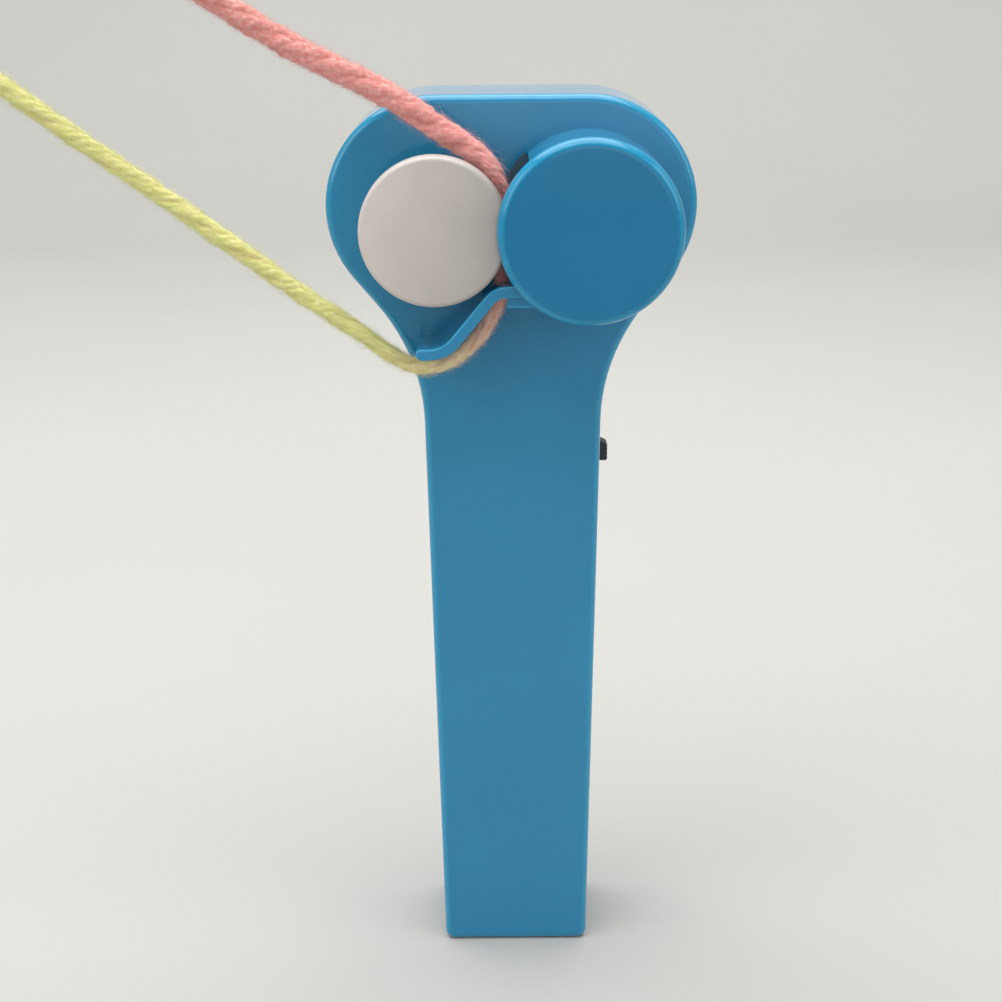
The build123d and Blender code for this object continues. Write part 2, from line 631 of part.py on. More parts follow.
with BuildPart() as switch_knob:
    with BuildSketch(facing(SPLIT_Y)):
        with BuildLine():
            Polyline(
                (14.7, knob_low),
                (KNOB_SIDE, knob_low),
                (KNOB_SIDE, knob_high - KNOB_SLOPE),
                (17.0, knob_high),
                (14.7, knob_high),
                close=True,
            )
        make_face()
    extrude(amount=KNOB_WIDTH / 2, both=True)
    chamfer(switch_knob.faces().sort_by(Axis.X)[-1].edges(), 0.3)
    with BuildSketch(Plane.YZ.offset(KNOB_SIDE)):
        with Locations((SPLIT_Y, (knob_low + knob_high - KNOB_SLOPE) / 2)):
            with GridLocations(0, 0.9, 1, 3):
                Rectangle(KNOB_WIDTH, 0.4)
    extrude(amount=-0.45, mode=Mode.SUBTRACT)
    with BuildSketch(Plane.YZ.offset(14.2)):
        with Locations((SPLIT_Y, SWITCH_Z)):
            Rectangle(6.0, 13.4)
    extrude(amount=0.5)
    with BuildSketch(Plane.YZ.offset(12.4)):
        with Locations((SPLIT_Y, SWITCH_Z)):
            Rectangle(2.4, 3.0)
    extrude(amount=1.8)
save(switch_knob, "switch_knob")

# ---------------------------------------------------------------- battery cells and contacts
link_top = BAY_BOTTOM + 0.5
plate_low = BAY_TOP - 0.5
spring_space = plate_low - link_top - CELL_LENGTH - CELL_NUB - 0.2


# each cell's nub meets a contact plate, so the left one has it at the top and the right one at the bottom
left_low = plate_low - 0.1 - CELL_LENGTH - CELL_NUB
right_low = link_top + 0.1
for x, name, low, body_low in (
    (-CELL_X, "left_cell", left_low, left_low),
    (CELL_X, "right_cell", right_low, right_low + CELL_NUB),
):
    with BuildPart() as cell:
        with BuildSketch(Plane.XY.offset(body_low)):
            with Locations((x, CELL_Y)):
                Circle(CELL_R)
        extrude(amount=CELL_LENGTH)
        fillet(cell.edges().filter_by(GeomType.CIRCLE), 0.5)
        with BuildSketch(Plane.XY.offset(low)):
            with Locations((x, CELL_Y)):
                Circle(CELL_NUB_R)
        extrude(amount=CELL_LENGTH + CELL_NUB)
    save(cell, name)

with BuildPart() as link_contact:
    with BuildSketch(Plane.XY.offset(link_top - 0.4)):
        with Locations((0, CELL_Y)):
            RectangleRounded(20.0, 8.0, 1.0)
    extrude(amount=0.4)
save(link_contact, "link_contact")

for x, name in ((-CELL_X, "positive_contact"), (CELL_X, "negative_contact")):
    with BuildPart() as contact:
        with BuildSketch(Plane.XY.offset(plate_low)):
            with Locations((x, 13.3)):
                Rectangle(8.0, 8.2)
        extrude(amount=0.4)
        with BuildSketch(Plane.XY.offset(plate_low)):
            with Locations((x, 9.4)):
                Rectangle(2.0, 0.4)
        extrude(amount=4.8)
    save(contact, name)

SPRING_R = 2.4
SPRING_WIRE = 0.25
for x, name, low in ((-CELL_X, "left_spring", link_top), (CELL_X, "right_spring", plate_low - spring_space)):
    with BuildPart() as spring:
        with BuildLine() as coil:
            Helix(
                pitch=(spring_space - 0.7) / 4,
                height=spring_space - 0.7,
                radius=SPRING_R,
                center=(x, CELL_Y, low + 0.35),
            )
        with BuildSketch(Plane(origin=coil.line @ 0, z_dir=coil.line % 0)):
            Circle(SPRING_WIRE)
        sweep(path=coil.line, is_frenet=True)
    save(spring, name)

# ---------------------------------------------------------------- wires and string


def bend_radii(route):
    """The radius at each corner of a route, as large as its two runs allow."""
    radii = []
    points = [Vector(*p) for p in route]
    for before, corner, after in zip(points, points[1:], points[2:]):
        into, out = corner - before, after - corner
        shorter = min(into.length, out.length)
        radii.append(0.45 * shorter / tan(radians(into.get_angle(out)) / 2))
    return radii


WIRE_R = 0.6
wire_start = plate_low + 4.8
terminal_low = MOTOR_Z - 0.8
WIRES = {
    "battery_to_switch_wire": [
        (-CELL_X, 9.4, wire_start),
        (-CELL_X, 9.4, 79.0),
        (-3.8, 9.0, 86.0),
        (-0.6, 8.6, 94.0),
        (2.0, 8.5, 101.0),
        (5.0, 8.5, SWITCH_Z - TAB_PITCH),
        (TAB_X, 8.5, SWITCH_Z - TAB_PITCH),
    ],
    "switch_to_motor_wire": [
        (TAB_X, 8.5, SWITCH_Z),
        (5.6, 8.5, SWITCH_Z),
        (3.6, 9.6, 112.0),
        (5.4, 12.0, 119.0),
        (5.6, 15.0, 126.5),
        (2.6, 17.3, 132.6),
        (MOTOR_X - TERMINAL_X, 17.5, 136.2),
        (MOTOR_X - TERMINAL_X, 17.5, terminal_low),
    ],
    "battery_to_motor_wire": [
        (CELL_X, 9.4, wire_start),
        (CELL_X, 9.4, 79.0),
        (6.2, 11.4, 86.0),
        (6.8, 13.8, 97.0),
        (8.0, 14.2, 109.0),
        (10.4, 15.0, 121.0),
        (9.6, 17.0, 130.0),
        (MOTOR_X + TERMINAL_X, 17.5, 135.4),
        (MOTOR_X + TERMINAL_X, 17.5, terminal_low),
    ],
}

# The string's loop, from the nip between the wheels, out to the upper left, and back under the rib.
KNOT = (-86.0, STRING_Y, 209.6)
KNOT_HALF = 3.5
MEETING_Z = 151.4
FEED = [
    (NIP_X, MEETING_Z),
    (NIP_X, 155.6),
    (-1.2, 160.1),
    (-2.7, 164.6),
    (-6.0, 169.7),
    (-12.0, 173.7),
    (-19.7, 179.1),
    (-29.6, 184.4),
    (-39.2, 188.9),
    (-48.8, 194.8),
    (-57.5, 200.7),
    (-67.2, 206.4),
    (-76.6, KNOT[2]),
    (KNOT[0] + KNOT_HALF, KNOT[2]),
]
RETURN = [
    (KNOT[0] - KNOT_HALF, KNOT[2]),
    (-97.1, KNOT[2]),
    (-103.3, 205.1),
    (-105.7, 197.8),
    (-103.3, 190.5),
    (-92.0, 182.4),
    (-79.8, 173.2),
    (-66.3, 163.7),
    (-51.7, 152.9),
    (-39.6, 143.7),
    (-30.7, 137.8),
    (-23.9, 132.6),
    (-19.3, 129.8),
    (-15.5, 129.6),
    (-11.2, 131.3),
    (-7.9, 133.9),
    (-5.2, 137.1),
    (-3.2, 141.0),
    (-1.8, 145.2),
    (NIP_X, 149.0),
    (NIP_X, MEETING_Z),
]
STRING = {
    "string_feed": [(x, STRING_Y, z) for x, z in FEED],
    "string_return": [(x, STRING_Y, z) for x, z in RETURN],
}

for name, route in {**WIRES, **STRING}.items():
    radius = STRING_R if name in STRING else WIRE_R
    bends = bend_radii(route)
    with BuildPart() as tube:
        with BuildLine() as path:
            FilletPolyline(*route, radius=bends)
        with BuildSketch(Plane(origin=path.line @ 0, z_dir=path.line % 0)):
            Circle(radius)
        sweep(path=path.line)
    save(tube, name)
    length = path.wires()[0].length
    share = tube.part.volume / (pi * radius**2 * length)
    print(f"{name}: {length:.1f} mm, volume {share:.4f} of section times length")
    print("  bend radii", [round(r, 1) for r in bends])

with BuildPart() as string_knot:
    with BuildSketch(Plane.YZ.offset(KNOT[0] - KNOT_HALF)):
        with Locations((KNOT[1], KNOT[2])):
            Circle(3.4)
    extrude(amount=2 * KNOT_HALF)
    fillet(string_knot.edges().filter_by(GeomType.CIRCLE), 1.2)
save(string_knot, "string_knot")
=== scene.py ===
import json
import math

import bpy
import numpy as np
from mathutils import Matrix, Vector


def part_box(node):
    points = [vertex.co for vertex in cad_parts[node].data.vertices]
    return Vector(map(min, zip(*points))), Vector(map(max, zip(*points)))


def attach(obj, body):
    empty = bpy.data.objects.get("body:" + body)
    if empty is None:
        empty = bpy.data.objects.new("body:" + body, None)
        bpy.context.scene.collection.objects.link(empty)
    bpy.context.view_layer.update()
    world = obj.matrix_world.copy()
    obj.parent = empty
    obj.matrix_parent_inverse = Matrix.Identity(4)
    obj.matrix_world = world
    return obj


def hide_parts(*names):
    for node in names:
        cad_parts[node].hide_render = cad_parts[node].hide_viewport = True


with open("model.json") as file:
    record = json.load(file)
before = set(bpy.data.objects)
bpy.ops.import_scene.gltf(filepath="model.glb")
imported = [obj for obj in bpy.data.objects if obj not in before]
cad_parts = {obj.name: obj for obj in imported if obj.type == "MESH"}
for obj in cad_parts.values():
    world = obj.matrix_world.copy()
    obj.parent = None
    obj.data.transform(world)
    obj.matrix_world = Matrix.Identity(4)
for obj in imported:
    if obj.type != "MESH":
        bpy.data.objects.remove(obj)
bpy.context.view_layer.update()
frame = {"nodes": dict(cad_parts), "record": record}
NODES = frame["nodes"]
MM = 0.001
RNG = np.random.default_rng(7)

# ------------------------------------------------------------------ camera
CAMERA_PLACE = (-2.44 * MM, -333.7 * MM, 207.89 * MM)
CAMERA_DOWN = 18.02  # degrees below level
CAMERA_ROLL = -0.485
CAMERA_LENS = 62.30  # millimetres, on a sensor 36 mm wide


def add_camera(place, down, roll, lens):
    """A camera looking along +Y, tipped down and rolled, angles in degrees."""
    data = bpy.data.cameras.new("camera")
    data.sensor_width = 36.0
    data.lens = lens
    data.clip_start = 0.01
    data.clip_end = 20.0
    obj = bpy.data.objects.new("camera", data)
    bpy.context.scene.collection.objects.link(obj)
    tip = Matrix.Rotation(math.radians(90.0 - down), 4, "X")
    obj.matrix_world = Matrix.Translation(place) @ tip @ Matrix.Rotation(math.radians(roll), 4, "Z")
    bpy.context.scene.camera = obj


add_camera(CAMERA_PLACE, CAMERA_DOWN, CAMERA_ROLL, CAMERA_LENS)


# ------------------------------------------------------------------ node helpers
class Nodes:
    """Short calls for building one material's node tree."""

    def __init__(self, name):
        self.material = bpy.data.materials.new(name)
        self.material.use_nodes = True
        self.tree = self.material.node_tree
        self.shader = self.tree.nodes["Principled BSDF"]
        self.place = self.tree.nodes.new("ShaderNodeTexCoord").outputs["Object"]

    def new(self, kind, **settings):
        node = self.tree.nodes.new(kind)
        for key, value in settings.items():
            setattr(node, key, value)
        return node

    def link(self, source, target):
        self.tree.links.new(source, target)

    def put(self, socket, value):
        if hasattr(value, "is_output"):
            self.link(value, socket)
        else:
            socket.default_value = value

    def axes(self, vector):
        """The X, Y and Z outputs of a vector."""
        split = self.new("ShaderNodeSeparateXYZ")
        self.link(vector, split.inputs["Vector"])
        return split.outputs

    def attribute(self, name):
        return self.new("ShaderNodeAttribute", attribute_name=name).outputs["Fac"]

    def noise(self, scale, detail=3.0, rough=0.5, stretch=None):
        """Noise from 0 to 1; stretch squeezes it along each axis."""
        vector = self.place
        if stretch:
            mapping = self.new("ShaderNodeMapping")
            mapping.inputs["Scale"].default_value = stretch
            self.link(vector, mapping.inputs["Vector"])
            vector = mapping.outputs["Vector"]
        node = self.new("ShaderNodeTexNoise")
        node.inputs["Scale"].default_value = scale
        node.inputs["Detail"].default_value = detail
        node.inputs["Roughness"].default_value = rough
        self.link(vector, node.inputs["Vector"])
        return node.outputs["Fac"]

    def remap(self, value, low, high, to_low, to_high):
        node = self.new("ShaderNodeMapRange")
        for key, v in (("From Min", low), ("From Max", high), ("To Min", to_low), ("To Max", to_high)):
            node.inputs[key].default_value = v
        self.link(value, node.inputs["Value"])
        return node.outputs["Result"]

    def math(self, operation, a, b=0.0):
        node = self.new("ShaderNodeMath", operation=operation)
        self.put(node.inputs[0], a)
        self.put(node.inputs[1], b)
        return node.outputs["Value"]

    def mix(self, fac, a, b, blend="MIX"):
        node = self.new("ShaderNodeMix", data_type="RGBA", blend_type=blend)
        self.put(node.inputs["Factor"], fac)
        self.put(node.inputs[6], a)
        self.put(node.inputs[7], b)
        return node.outputs[2]

    def ramp(self, value, stops, mode="LINEAR"):
        node = self.new("ShaderNodeValToRGB")
        node.color_ramp.interpolation = mode
        while len(node.color_ramp.elements) < len(stops):
            node.color_ramp.elements.new(0.5)
        for element, (at, colour) in zip(node.color_ramp.elements, stops):
            element.position = at
            element.color = colour
        self.link(value, node.inputs["Fac"])
        return node.outputs["Color"]

    def bump(self, height, strength, distance, under=None):
        node = self.new("ShaderNodeBump")
        node.inputs["Strength"].default_value = strength
        node.inputs["Distance"].default_value = distance
        self.link(height, node.inputs["Height"])
        if under is not None:
            self.link(under, node.inputs["Normal"])
        return node.outputs["Normal"]

    def finish(self, **sockets):
        for key, value in sockets.items():
            self.put(self.shader.inputs[key.replace("_", " ")], value)
        return self.material


def linear(r, g, b):
    """A colour given as 0 to 255 screen values, as linear RGBA."""
    def one(c):
        c /= 255.0
        return c / 12.92 if c <= 0.04045 else ((c + 0.055) / 1.055) ** 2.4
    return (one(r), one(g), one(b), 1.0)


def shade(colour, k):
    return (colour[0] * k, colour[1] * k, colour[2] * k, 1.0)


# ------------------------------------------------------------------ materials
def moulded(name, colour, rough, edge=0.0, highlight_colour=None, grain=0.02, ior=1.47, coat=0.0):
    """Injection-moulded plastic: faint cloudiness, handling marks in the gloss, and a painted highlight on
    rounded edges.
    """
    n = Nodes(name)
    cloud = n.remap(n.noise(38.0, 4.0), 0.3, 0.7, 0.0, 1.0)
    base = n.mix(cloud, shade(colour, 0.94), shade(colour, 1.05))
    if edge:
        normal_y = n.axes(n.new("ShaderNodeNewGeometry").outputs["Normal"])["Y"]
        facing = n.math("ABSOLUTE", normal_y)
        # neither along the depth nor across it, so part of the way round an edge
        off_flank = n.remap(facing, 0.03, 0.3, 0.0, 1.0)
        off_face = n.remap(facing, 0.995, 0.88, 0.0, 1.0)
        turning = n.math("MULTIPLY", off_flank, off_face)
        # Painted highlight: rounded edges are mixed towards a lighter colour, in patches.
        highlight_patches = n.remap(n.noise(260.0, 3.0), 0.3, 0.6, 0.7 * edge, edge)
        base = n.mix(n.math("MULTIPLY", turning, highlight_patches), base, highlight_colour)
    smudges = n.noise(95.0, 5.0, 0.6)
    marks = n.noise(40.0, 6.0, 0.7, stretch=(9.0, 9.0, 0.8))
    both = n.math("ADD", n.math("MULTIPLY", smudges, 0.6), n.math("MULTIPLY", marks, 0.4))
    orange_peel = n.bump(n.noise(420.0, 2.0), grain * 3, 0.05 * MM)
    return n.finish(
        Base_Color=base,
        Roughness=n.remap(both, 0.35, 0.68, rough * 0.8, rough * 1.3),
        Normal=n.bump(n.noise(2600.0, 2.0), grain * 4, 0.02 * MM, under=orange_peel),
        IOR=ior,
        Coat_Weight=coat,
        Coat_Roughness=0.08,
        Coat_IOR=1.3,
    )


def white_with_painted_shade(name, colour, low, high):
    """White plastic with painted shade, lighter at its upper left and darker towards its lower right, with
    random blotches; low and high bound the piece.
    """
    n = Nodes(name)
    place = n.axes(n.place)
    # Painted shade: darker to the right and downwards across the piece, as light from the upper left would
    # leave it.
    right = n.remap(place["X"], low.x, high.x, 0.0, 0.75)
    down = n.remap(place["Z"], high.z, low.z, 0.0, 0.25)
    blotches = n.math("MULTIPLY", n.math("SUBTRACT", n.noise(110.0, 4.0), 0.5), 0.35)
    painted_shade_and_blotches = n.math("ADD", n.math("ADD", right, down), blotches)
    return n.finish(
        Base_Color=n.mix(n.remap(painted_shade_and_blotches, 0.15, 0.85, 0.0, 1.0), shade(colour, 1.12), shade(colour, 0.74)),
        Roughness=n.remap(n.noise(95.0, 5.0, 0.6), 0.35, 0.68, 0.34, 0.5),
        Normal=n.bump(n.noise(900.0, 2.0), 0.08, 0.03 * MM),
        IOR=1.47,
    )


def metal(name, colour, rough, stretch=(1.0, 60.0, 60.0), scale=90.0):
    """Drawn or turned metal with fine lines and small stains."""
    n = Nodes(name)
    lines = n.noise(scale, 4.0, 0.6, stretch=stretch)
    stain = n.remap(n.noise(220.0, 4.0), 0.35, 0.7, 0.0, 1.0)
    return n.finish(
        Base_Color=n.mix(stain, shade(colour, 0.82), shade(colour, 1.08)),
        Metallic=1.0,
        Roughness=n.remap(lines, 0.3, 0.7, rough * 0.7, rough * 1.35),
        Normal=n.bump(lines, 0.15, 0.03 * MM),
    )


def rubber(name, colour):
    """Matt rubber with pale dust on it."""
    n = Nodes(name)
    dust = n.remap(n.noise(500.0, 4.0, 0.6), 0.5, 0.75, 0.0, 0.5)
    return n.finish(
        Base_Color=n.mix(dust, colour, shade(colour, 2.6)),
        Roughness=n.remap(n.noise(300.0, 4.0), 0.3, 0.7, 0.55, 0.85),
        Normal=n.bump(n.noise(1500.0, 3.0), 0.35, 0.05 * MM),
    )


CELL_BANDS = [
    (0.0, linear(150, 150, 148)),
    (0.02, linear(24, 24, 26)),
    (0.74, linear(186, 118, 62)),
    (0.97, linear(186, 118, 62)),
    (0.98, linear(170, 170, 168)),
]


def cell_jacket(name, low_z, high_z):
    """A printed cell jacket: copper-coloured end band over black, under clear film."""
    n = Nodes(name)
    up = n.remap(n.axes(n.place)["Z"], low_z, high_z, 0.0, 1.0)
    scuffs = n.remap(n.noise(300.0, 3.0), 0.3, 0.7, 0.0, 0.12)
    return n.finish(
        Base_Color=n.mix(scuffs, n.ramp(up, CELL_BANDS, "CONSTANT"), linear(90, 80, 70)),
        Roughness=n.remap(n.noise(120.0, 4.0), 0.3, 0.7, 0.22, 0.42),
        Normal=n.bump(n.noise(900.0, 2.0), 0.08, 0.05 * MM),
        Metallic=0.35,
    )


BLUE = linear(33, 126, 168)
COVER_BLUE = linear(10, 110, 153)
# Painted highlight colour for the rounded edges of blue pieces.
HIGHLIGHT_BLUE = linear(34, 148, 188)
BLACK = linear(36, 42, 52)
# Painted highlight colour for the rounded edges of black pieces.
HIGHLIGHT_BLACK = linear(74, 82, 94)
WHITE = linear(191, 184, 179)
FINE_GRAIN = 0.008
CELL_LOW, CELL_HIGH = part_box("left_cell")

MATERIALS = {
    "case_plastic": moulded("case_plastic", BLUE, 0.14, 0.7, HIGHLIGHT_BLUE, FINE_GRAIN, 1.42, 0.55),
    "cover_plastic": moulded("cover_plastic", COVER_BLUE, 0.17, 0.8, HIGHLIGHT_BLUE, FINE_GRAIN, 1.4, 0.4),
    "white_plastic": white_with_painted_shade("white_plastic", WHITE, *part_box("white_wheel")),
    "gear_plastic": moulded("gear_plastic", linear(226, 222, 208), 0.45),
    "black_plastic": moulded("black_plastic", BLACK, 0.42, 0.4, HIGHLIGHT_BLACK, grain=0.06),
    # Painted shade: a dark slate blue for the plate seen through the shadowed gap beside the cover.
    "painted_shade_slate": moulded("painted_shade_slate", linear(62, 92, 114), 0.5, grain=0.05),
    "tyre_rubber": rubber("tyre_rubber", linear(28, 28, 29)),
    "steel": metal("steel", linear(188, 188, 186), 0.28),
    "contact_metal": metal("contact_metal", linear(202, 198, 188), 0.3, (60.0, 60.0, 1.0)),
    "bush_metal": metal("bush_metal", linear(196, 154, 92), 0.4, (1.0, 1.0, 1.0), 900.0),
    "red_insulation": moulded("red_insulation", linear(190, 24, 20), 0.4, grain=0.05),
    "black_insulation": moulded("black_insulation", linear(26, 26, 28), 0.4, grain=0.05),
    "cell_jacket": cell_jacket("cell_jacket", CELL_LOW.z, CELL_HIGH.z),
}
# The plate behind the covered wheel is shown dark slate blue rather than the black of the other black
# pieces: painted shade, the colour of the shadowed gap beside the cover.
SHOWN_AS = {"well_plate": "painted_shade_slate"}

for row in frame["record"]["subparts"]:
    finish = MATERIALS.get(SHOWN_AS.get(row["node"], row["material_slot"]))
    if finish is None:
        continue
    for slot in NODES[row["node"]].material_slots:
        slot.material = finish

# ------------------------------------------------------------------ yarn
STRING_Y = -9.7
# The yarn's route as (x, z) in millimetres: up out of the nip, out to the knot, round and back down
# to the nip.
ROUTE = [
    (-1.0, 151.4), (-1.0, 155.6), (-1.2, 160.1), (-2.7, 164.6), (-6.0, 169.7), (-12.0, 173.7),
    (-19.7, 179.1), (-29.6, 184.4), (-39.2, 188.9), (-48.8, 194.8), (-57.5, 200.7), (-67.2, 206.4),
    (-76.6, 209.6), (-82.5, 209.6), (-89.5, 209.6), (-97.1, 209.6), (-103.3, 205.1), (-105.7, 197.8),
    (-103.3, 190.5), (-92.0, 182.4), (-79.8, 173.2), (-66.3, 163.7), (-51.7, 152.9), (-39.6, 143.7),
    (-30.7, 137.8), (-23.9, 132.6), (-19.3, 129.8), (-15.5, 129.6), (-11.2, 131.3), (-7.9, 133.9),
    (-5.2, 137.1), (-3.2, 141.0), (-1.8, 145.2), (-1.0, 149.0), (-1.0, 151.4),
]
# Yarn radius at distances along the route, both in millimetres. The yarn is thick where it is loose,
# and thinner in the nip, in the slot and round the rib.
THICKNESS = [
    (0.0, 1.60), (8.0, 1.80), (15.0, 2.28), (34.0, 2.34), (100.0, 2.34),
    (116.0, 1.90), (150.0, 1.78), (225.0, 1.74), (243.0, 1.52), (280.0, 1.52),
]
YARN_STEP = 0.3 * MM
AROUND = 48
PLIES = 4
LAY = 34.0 * MM
PLY_SHARE = 0.64  # a ply's radius, as a share of the yarn's
PLY_OUT = 0.36  # how far a ply's centre stands off the yarn's, as a share of the yarn's radius
SWELL = 0.10  # how much a ply's thickness varies
SLIP = 0.35  # how far a ply slides round the yarn, in radians
BUNDLES = [(17, 11.0, 0.028, 1.0), (29, -6.3, 0.02, 2.1)]  # count, lay in mm, height, shift per ply
LUMPS = 0.04  # how much the whole yarn's thickness varies
RIPPLES = 14
RIPPLE_HEIGHT = 0.011


def centreline(route):
    """Points along the NURBS spline whose control points are the route."""
    data = bpy.data.curves.new("yarn_route", "CURVE")
    data.dimensions = "3D"
    spline = data.splines.new("NURBS")
    spline.points.add(len(route) - 1)
    for point, (x, z) in zip(spline.points, route):
        point.co = (x * MM, STRING_Y * MM, z * MM, 1.0)
    spline.order_u = 3
    spline.use_endpoint_u = True
    spline.resolution_u = 24
    obj = bpy.data.objects.new("yarn_route", data)
    mesh = bpy.data.meshes.new_from_object(obj)
    points = np.array([v.co for v in mesh.vertices])
    bpy.data.objects.remove(obj)
    bpy.data.meshes.remove(mesh)
    return points


def evenly(points, step):
    """The same line with a point every step metres, and each point's distance along it."""
    gaps = np.linalg.norm(np.diff(points, axis=0), axis=1)
    keep = np.concatenate([[True], gaps > 1e-9])
    points = points[keep]
    run = np.concatenate([[0.0], np.cumsum(np.linalg.norm(np.diff(points, axis=0), axis=1))])
    at = np.linspace(0.0, run[-1], int(run[-1] / step) + 1)
    return np.stack([np.interp(at, run, points[:, k]) for k in range(3)], axis=1), at


def tangents(points):
    tangent = np.gradient(points, axis=0)
    return tangent / np.linalg.norm(tangent, axis=1)[:, None]


def wander(at, lengths, rng):
    """A smooth random function of distance, about -1 to 1, from waves of the given lengths."""
    total = np.zeros_like(at)
    for length in lengths:
        total += np.sin(2 * np.pi * (at / length + rng.random())) / len(lengths)
    return total


def plied_radius(at, radius, angle, rng):
    """Outline of plies laid round each other: the radius at each distance and angle."""
    best = np.zeros((len(at), len(angle)))
    for i in range(PLIES):
        swell = 1.0 + SWELL * wander(at, (9 * MM, 14 * MM, 31 * MM), rng)
        slip = SLIP * wander(at, (13 * MM, 27 * MM), rng)
        ply_r = (PLY_SHARE * radius * swell)[:, None]
        out_r = (PLY_OUT * radius * (2.0 - swell))[:, None]
        delta = angle[None, :] - 2 * np.pi * i / PLIES - slip[:, None]
        inside = ply_r**2 - (out_r * np.sin(delta)) ** 2
        reach = out_r * np.cos(delta) + np.sqrt(np.maximum(inside, 0.0))
        strands = sum(
            height * np.sin(count * delta + 2 * np.pi * at[:, None] / (lay * MM) + shift * i)
            for count, lay, height, shift in BUNDLES
        )
        reach = np.where((inside > 0) & (np.cos(delta) > 0), reach * (1 + strands), 0.0)
        best = np.maximum(best, reach)
    lumps = 1.0 + LUMPS * wander(at, (4.1 * MM, 6.7 * MM, 10.3 * MM), rng)
    best *= lumps[:, None]
    for _ in range(RIPPLES):
        wave = 2 * np.pi * at[:, None] / (rng.uniform(1.8, 5.0) * MM)
        phase = rng.integers(2, 9) * angle[None, :] + wave + rng.uniform(0, 2 * np.pi)
        best *= 1.0 + RIPPLE_HEIGHT * np.sin(phase)
    return best


def groove_depth(outline, radius):
    """From 0 at the bottom of a groove between plies to 1 on the crown of a ply."""
    return np.clip((outline / radius[:, None] - 0.7) / 0.32, 0, 1)


def ring_points(points, outline, turn, u, v):
    """Points round a line: u and v are the two directions across it, and turn is the angle from u to v."""
    offset = np.cos(turn)[..., None] * u[:, None, :] + np.sin(turn)[..., None] * v[:, None, :]
    return points[:, None, :] + outline[..., None] * offset


def add_mesh(name, verts, faces, attributes, material):
    """A smooth-shaded object with one value per vertex for each attribute."""
    mesh = bpy.data.meshes.new(name)
    mesh.from_pydata(verts, [], faces)
    for key, values in attributes.items():
        layer = mesh.attributes.new(key, "FLOAT", "POINT")
        layer.data.foreach_set("value", np.asarray(values, np.float32).ravel())
    mesh.shade_smooth()
    mesh.validate()
    mesh.materials.append(material)
    obj = bpy.data.objects.new(name, mesh)
    bpy.context.scene.collection.objects.link(obj)
    return obj


def tube(name, rings, attributes, material):
    """A closed tube from rings of points (places, around, 3)."""
    count, around = rings.shape[:2]
    index = np.arange(count * around).reshape(count, around)
    a = index[:-1]
    b = index[1:]
    faces = np.stack([a, np.roll(a, -1, 1), np.roll(b, -1, 1), b], axis=-1).reshape(-1, 4).tolist()
    faces.append(index[0][::-1].tolist())
    faces.append(index[-1].tolist())
    return add_mesh(name, rings.reshape(-1, 3).tolist(), faces, attributes, material)


# The yarn's dye along its length: pink, through peach, to yellow. The stops from 0.92 round to 0.05, under
# the rib, in the slot and in and just above the nip, are also lightened to offset the shade there: painted
# light.
YARN_DYE_AND_FILL_LIGHT = [
    (0.0, linear(226, 144, 142)),
    (0.05, linear(228, 148, 144)),
    (0.36, linear(219, 137, 132)),
    (0.42, linear(224, 180, 138)),
    (0.47, linear(217, 220, 134)),
    (0.86, linear(227, 229, 144)),
    (0.895, linear(230, 216, 152)),
    (0.92, linear(240, 216, 174)),
    (0.95, linear(238, 186, 166)),
    (0.975, linear(238, 166, 160)),
    (1.0, linear(226, 146, 144)),
]


def yarn_material(name, groove_shade):
    """Soft yarn dyed pink, through peach, to yellow along its length, lightened as painted light where the
    rib and the nip shade it; its second argument adds painted shade between plies.
    """
    n = Nodes(name)
    uneven = n.math("MULTIPLY", n.math("SUBTRACT", n.noise(60.0, 3.0), 0.5), 0.02)
    colour = n.ramp(n.math("ADD", n.attribute("along"), uneven), YARN_DYE_AND_FILL_LIGHT)
    pale = n.remap(n.noise(1100.0, 3.0, 0.6), 0.4, 0.62, 0.0, 0.26)
    dark = n.remap(n.noise(620.0, 3.0, 0.6, stretch=(1.0, 1.0, 1.6)), 0.42, 0.66, 0.0, 0.18)
    colour = n.mix(dark, colour, n.mix(1.0, colour, linear(228, 200, 190), "MULTIPLY"))
    colour = n.mix(pale, colour, linear(242, 224, 210))
    if groove_shade:
        # Painted shade: darker in the grooves between plies, where the raised attribute is low.
        groove_shade_colour = n.mix(1.0, colour, linear(234, 218, 210), "MULTIPLY")
        colour = n.mix(n.remap(n.attribute("raised"), 0.0, 0.75, 0.0, 1.0), groove_shade_colour, colour)
    fuzz = n.noise(2200.0, 4.0, 0.7)
    return n.finish(
        Base_Color=colour,
        Roughness=n.remap(fuzz, 0.2, 0.8, 0.8, 1.0),
        Normal=n.bump(fuzz, 0.8, 0.2 * MM),
        IOR=1.35,
        Sheen_Weight=0.35,
        Sheen_Roughness=0.5,
        Subsurface_Weight=0.15,
        Subsurface_Scale=0.6 * MM,
    )


YARN = yarn_material("space_dyed_yarn_painted_light", groove_shade=True)

line, at = evenly(centreline(ROUTE), YARN_STEP)
yarn_length = at[-1]
tangent = tangents(line)
side = np.tile([0.0, 1.0, 0.0], (len(line), 1))
across = np.cross(side, tangent)
radius = np.interp(at, *(np.array(THICKNESS) * MM).T)
angle = np.linspace(0, 2 * np.pi, AROUND, endpoint=False)
outline = plied_radius(at, radius, angle, RNG)
turn = angle[None, :] - (2 * np.pi * at / LAY)[:, None]
rings = ring_points(line, outline, turn, across, side)
along = np.repeat((at / yarn_length)[:, None], AROUND, axis=1)
yarn = tube("yarn_loop", rings, {"along": along, "raised": groove_depth(outline, radius)}, YARN)

